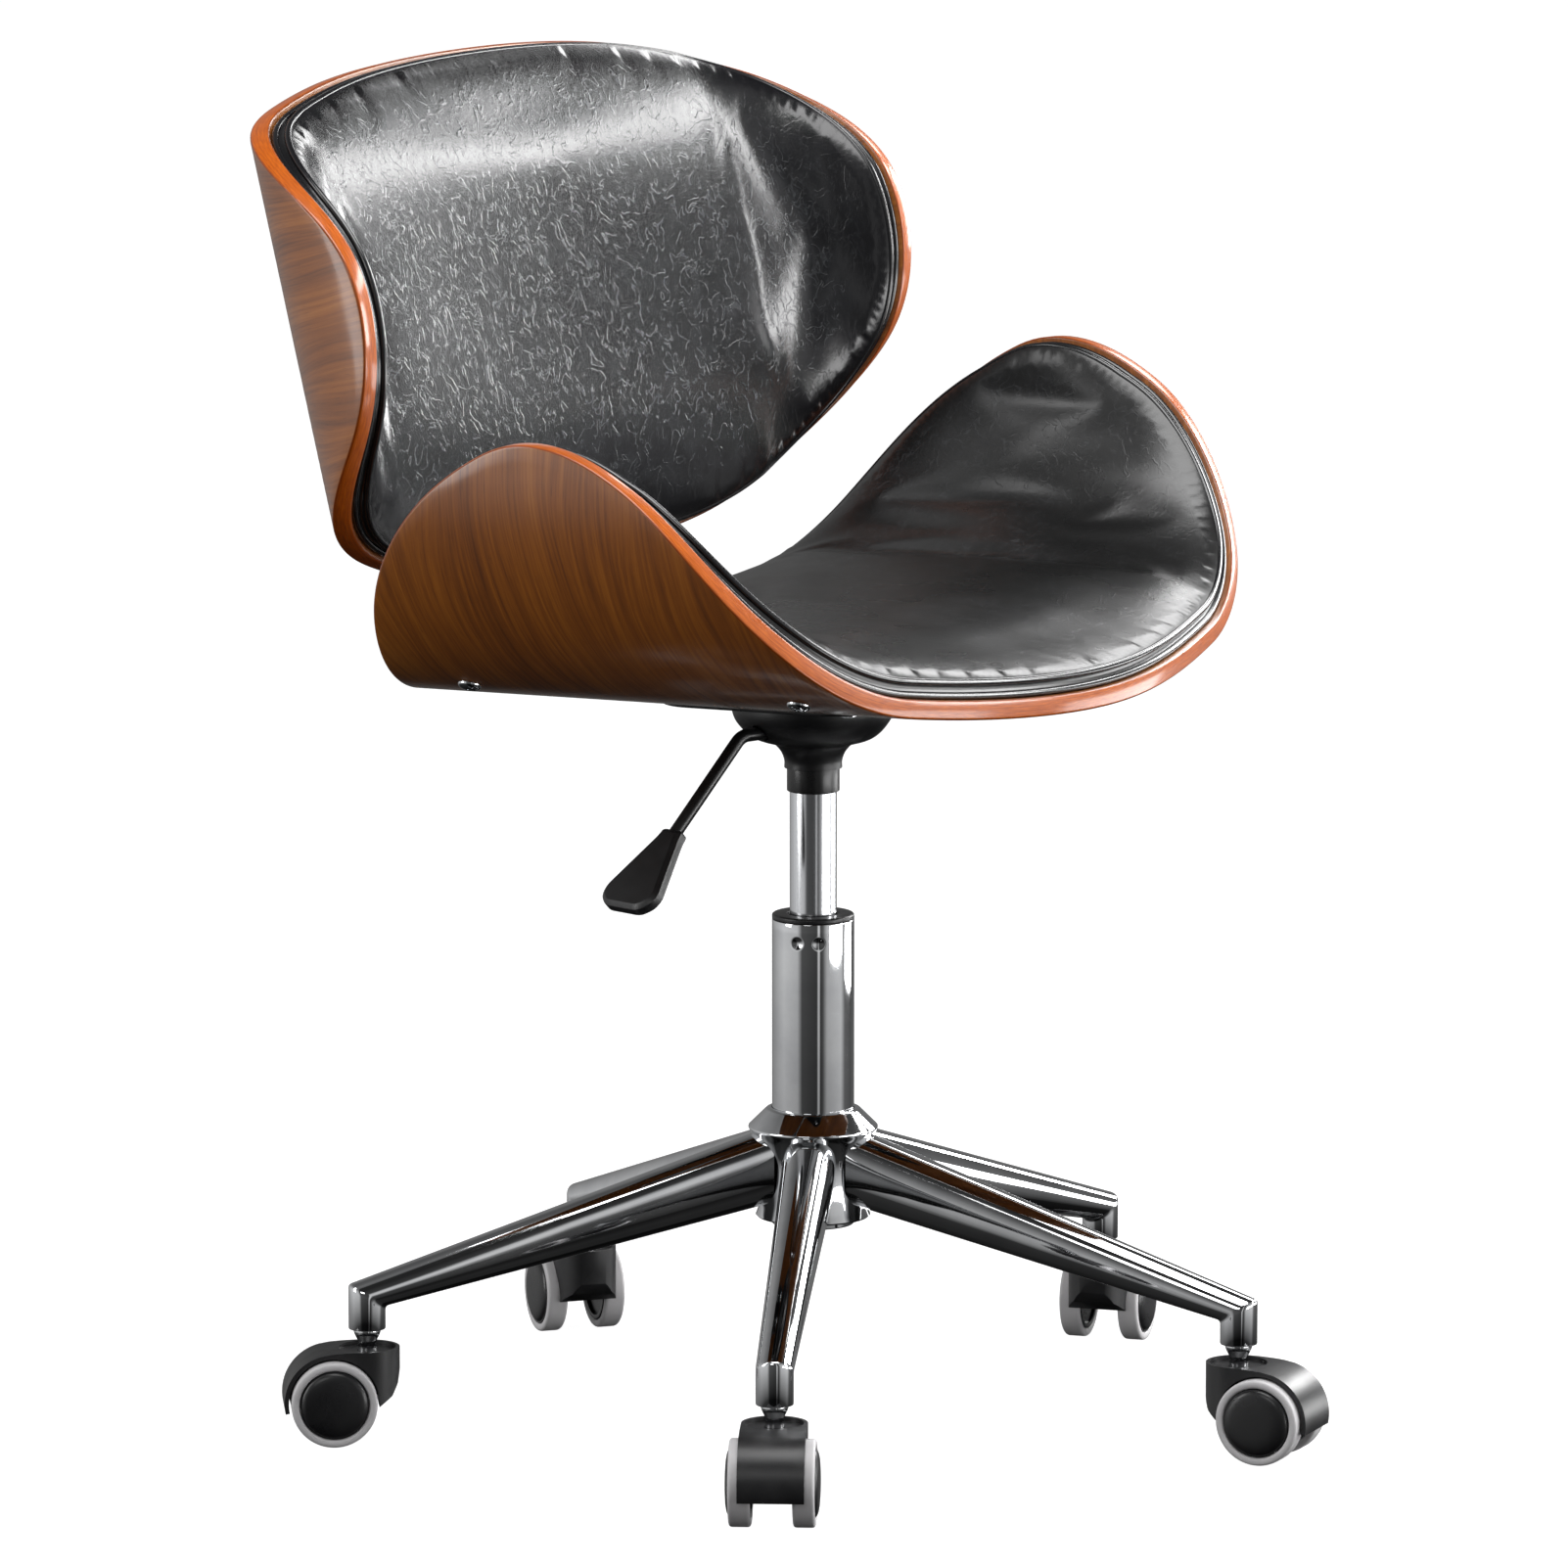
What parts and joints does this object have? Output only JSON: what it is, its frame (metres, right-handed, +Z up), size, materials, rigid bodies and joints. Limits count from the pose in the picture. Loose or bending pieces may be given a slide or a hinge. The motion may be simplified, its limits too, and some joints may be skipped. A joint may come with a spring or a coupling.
{
  "type": "swivel office chair",
  "caption": "Swivel office chair with bent walnut ply seat and back shells, black leather cushions, gas lift and a five-leg chrome caster base.",
  "frame": {"origin": "on the floor under the middle of the whole chair; the column stands 9.1 mm to -X and 13.4 mm to +Y of it", "axes": "+Z up; the sitter faces -Y; +X is to the sitter's left, and the height lever is on the -X side"},
  "size_m": [0.6237, 0.6124, 0.8061],
  "materials": {
    "polished_chrome": "mirror polished",
    "satin_steel": "satin",
    "black_plastic": "lightly textured",
    "grey_tyre": "matt",
    "black_metal": "satin black powder coat",
    "walnut_plywood": "lacquered walnut veneer",
    "black_leather": "glossy creased"
  },
  "bodies": {
    "base": {"base_hub": "polished_chrome", "base_leg_1": "polished_chrome", "base_leg_2": "polished_chrome", "base_leg_3": "polished_chrome", "base_leg_4": "polished_chrome", "base_leg_5": "polished_chrome", "column_tube": "polished_chrome", "guide_bush": "black_plastic", "thrust_bearing": "satin_steel"},
    "lift_rod": {"piston_rod": "satin_steel"},
    "seat": {"gas_cylinder": "satin_steel", "mounting_plate": "black_metal", "mechanism_cover": "black_plastic", "seat_shell": "walnut_plywood", "seat_cushion": "black_leather", "back_shell": "walnut_plywood", "back_cushion": "black_leather", "back_bracket": "black_metal", "side_bolt_rear_left": "polished_chrome", "side_bolt_rear_right": "polished_chrome", "side_bolt_front_left": "polished_chrome", "side_bolt_front_right": "polished_chrome"},
    "lever": {"lever_rod": "black_metal", "lever_paddle": "black_plastic"},
    "valve": {"valve_pin": "satin_steel"},
    "caster_1": {"caster_stem_1": "polished_chrome", "caster_housing_1": "black_plastic", "caster_axle_1": "satin_steel"},
    "wheel_1_left": {"wheel_disc_1_left": "black_plastic", "wheel_tyre_1_left": "grey_tyre"},
    "wheel_1_right": {"wheel_disc_1_right": "black_plastic", "wheel_tyre_1_right": "grey_tyre"},
    "caster_2": {"caster_stem_2": "polished_chrome", "caster_housing_2": "black_plastic", "caster_axle_2": "satin_steel"},
    "wheel_2_left": {"wheel_disc_2_left": "black_plastic", "wheel_tyre_2_left": "grey_tyre"},
    "wheel_2_right": {"wheel_disc_2_right": "black_plastic", "wheel_tyre_2_right": "grey_tyre"},
    "caster_3": {"caster_stem_3": "polished_chrome", "caster_housing_3": "black_plastic", "caster_axle_3": "satin_steel"},
    "wheel_3_left": {"wheel_disc_3_left": "black_plastic", "wheel_tyre_3_left": "grey_tyre"},
    "wheel_3_right": {"wheel_disc_3_right": "black_plastic", "wheel_tyre_3_right": "grey_tyre"},
    "caster_4": {"caster_stem_4": "polished_chrome", "caster_housing_4": "black_plastic", "caster_axle_4": "satin_steel"},
    "wheel_4_left": {"wheel_disc_4_left": "black_plastic", "wheel_tyre_4_left": "grey_tyre"},
    "wheel_4_right": {"wheel_disc_4_right": "black_plastic", "wheel_tyre_4_right": "grey_tyre"},
    "caster_5": {"caster_stem_5": "polished_chrome", "caster_housing_5": "black_plastic", "caster_axle_5": "satin_steel"},
    "wheel_5_left": {"wheel_disc_5_left": "black_plastic", "wheel_tyre_5_left": "grey_tyre"},
    "wheel_5_right": {"wheel_disc_5_right": "black_plastic", "wheel_tyre_5_right": "grey_tyre"}
  },
  "joints": [
    {"name": "seat_swivel", "type": "hinge", "parent": "base", "child": "lift_rod", "pos_m": [-0.0091, 0.0134, 0.13], "axis": [0, 0, 1], "continuous": true},
    {"name": "seat_lift", "type": "slide", "parent": "lift_rod", "child": "seat", "axis": [0, 0, 1], "range_m": [-0.06, 0.04]},
    {"name": "lever_rock", "type": "hinge", "parent": "seat", "child": "lever", "pos_m": [-0.04919, 0.02414, 0.4178], "axis": [0.2588, 0.9659, 0], "range_deg": [0, 4], "stiffness_Nm_per_rad": 0.8, "springref_deg": -3.44},
    {"name": "valve_press", "type": "slide", "parent": "seat", "child": "valve", "axis": [0, 0, -1], "range_m": [0, 0.003]},
    {"name": "caster_swivel_1", "type": "hinge", "parent": "base", "child": "caster_1", "pos_m": [0.03423, -0.25411, 0.0645], "axis": [0, 0, 1], "continuous": true},
    {"name": "wheel_roll_1_left", "type": "hinge", "parent": "caster_1", "child": "wheel_1_left", "pos_m": [0.05546, -0.27177, 0.0255], "axis": [0.9898, 0.1426, 0], "continuous": true},
    {"name": "wheel_roll_1_right", "type": "hinge", "parent": "caster_1", "child": "wheel_1_right", "pos_m": [0.01884, -0.27704, 0.0255], "axis": [0.9898, 0.1426, 0], "continuous": true},
    {"name": "caster_swivel_2", "type": "hinge", "parent": "base", "child": "caster_2", "pos_m": [0.25871, -0.02806, 0.0645], "axis": [0, 0, 1], "continuous": true},
    {"name": "wheel_roll_2_left", "type": "hinge", "parent": "caster_2", "child": "wheel_2_left", "pos_m": [0.27372, -0.00488, 0.0255], "axis": [-0.2588, 0.9659, 0], "continuous": true},
    {"name": "wheel_roll_2_right", "type": "hinge", "parent": "caster_2", "child": "wheel_2_right", "pos_m": [0.2833, -0.04062, 0.0255], "axis": [-0.2588, 0.9659, 0], "continuous": true},
    {"name": "caster_swivel_3", "type": "hinge", "parent": "base", "child": "caster_3", "pos_m": [0.11309, 0.25529, 0.0645], "axis": [0, 0, 1], "continuous": true},
    {"name": "wheel_roll_3_left", "type": "hinge", "parent": "caster_3", "child": "wheel_3_left", "pos_m": [0.11161, 0.28286, 0.0255], "axis": [-0.7771, 0.6293, 0], "continuous": true},
    {"name": "wheel_roll_3_right", "type": "hinge", "parent": "caster_3", "child": "wheel_3_right", "pos_m": [0.14037, 0.25958, 0.0255], "axis": [-0.7771, 0.6293, 0], "continuous": true},
    {"name": "caster_swivel_4", "type": "hinge", "parent": "base", "child": "caster_4", "pos_m": [-0.20139, 0.20436, 0.0645], "axis": [0, 0, 1], "continuous": true},
    {"name": "wheel_roll_4_left", "type": "hinge", "parent": "caster_4", "child": "wheel_4_left", "pos_m": [-0.2285, 0.20964, 0.0255], "axis": [-0.7997, -0.6004, 0], "continuous": true},
    {"name": "wheel_roll_4_right", "type": "hinge", "parent": "caster_4", "child": "wheel_4_right", "pos_m": [-0.19891, 0.23186, 0.0255], "axis": [-0.7997, -0.6004, 0], "continuous": true},
    {"name": "caster_swivel_5", "type": "hinge", "parent": "base", "child": "caster_5", "pos_m": [-0.25013, -0.11047, 0.0645], "axis": [0, 0, 1], "continuous": true},
    {"name": "wheel_roll_5_left", "type": "hinge", "parent": "caster_5", "child": "wheel_5_left", "pos_m": [-0.25905, -0.13661, 0.0255], "axis": [0.4863, -0.8738, 0], "continuous": true},
    {"name": "wheel_roll_5_right", "type": "hinge", "parent": "caster_5", "child": "wheel_5_right", "pos_m": [-0.27704, -0.10428, 0.0255], "axis": [0.4863, -0.8738, 0], "continuous": true}
  ],
  "couplings": [
    {"joint": "valve_press", "follows": "lever_rock", "m_per_rad": 0.0425}
  ]
}
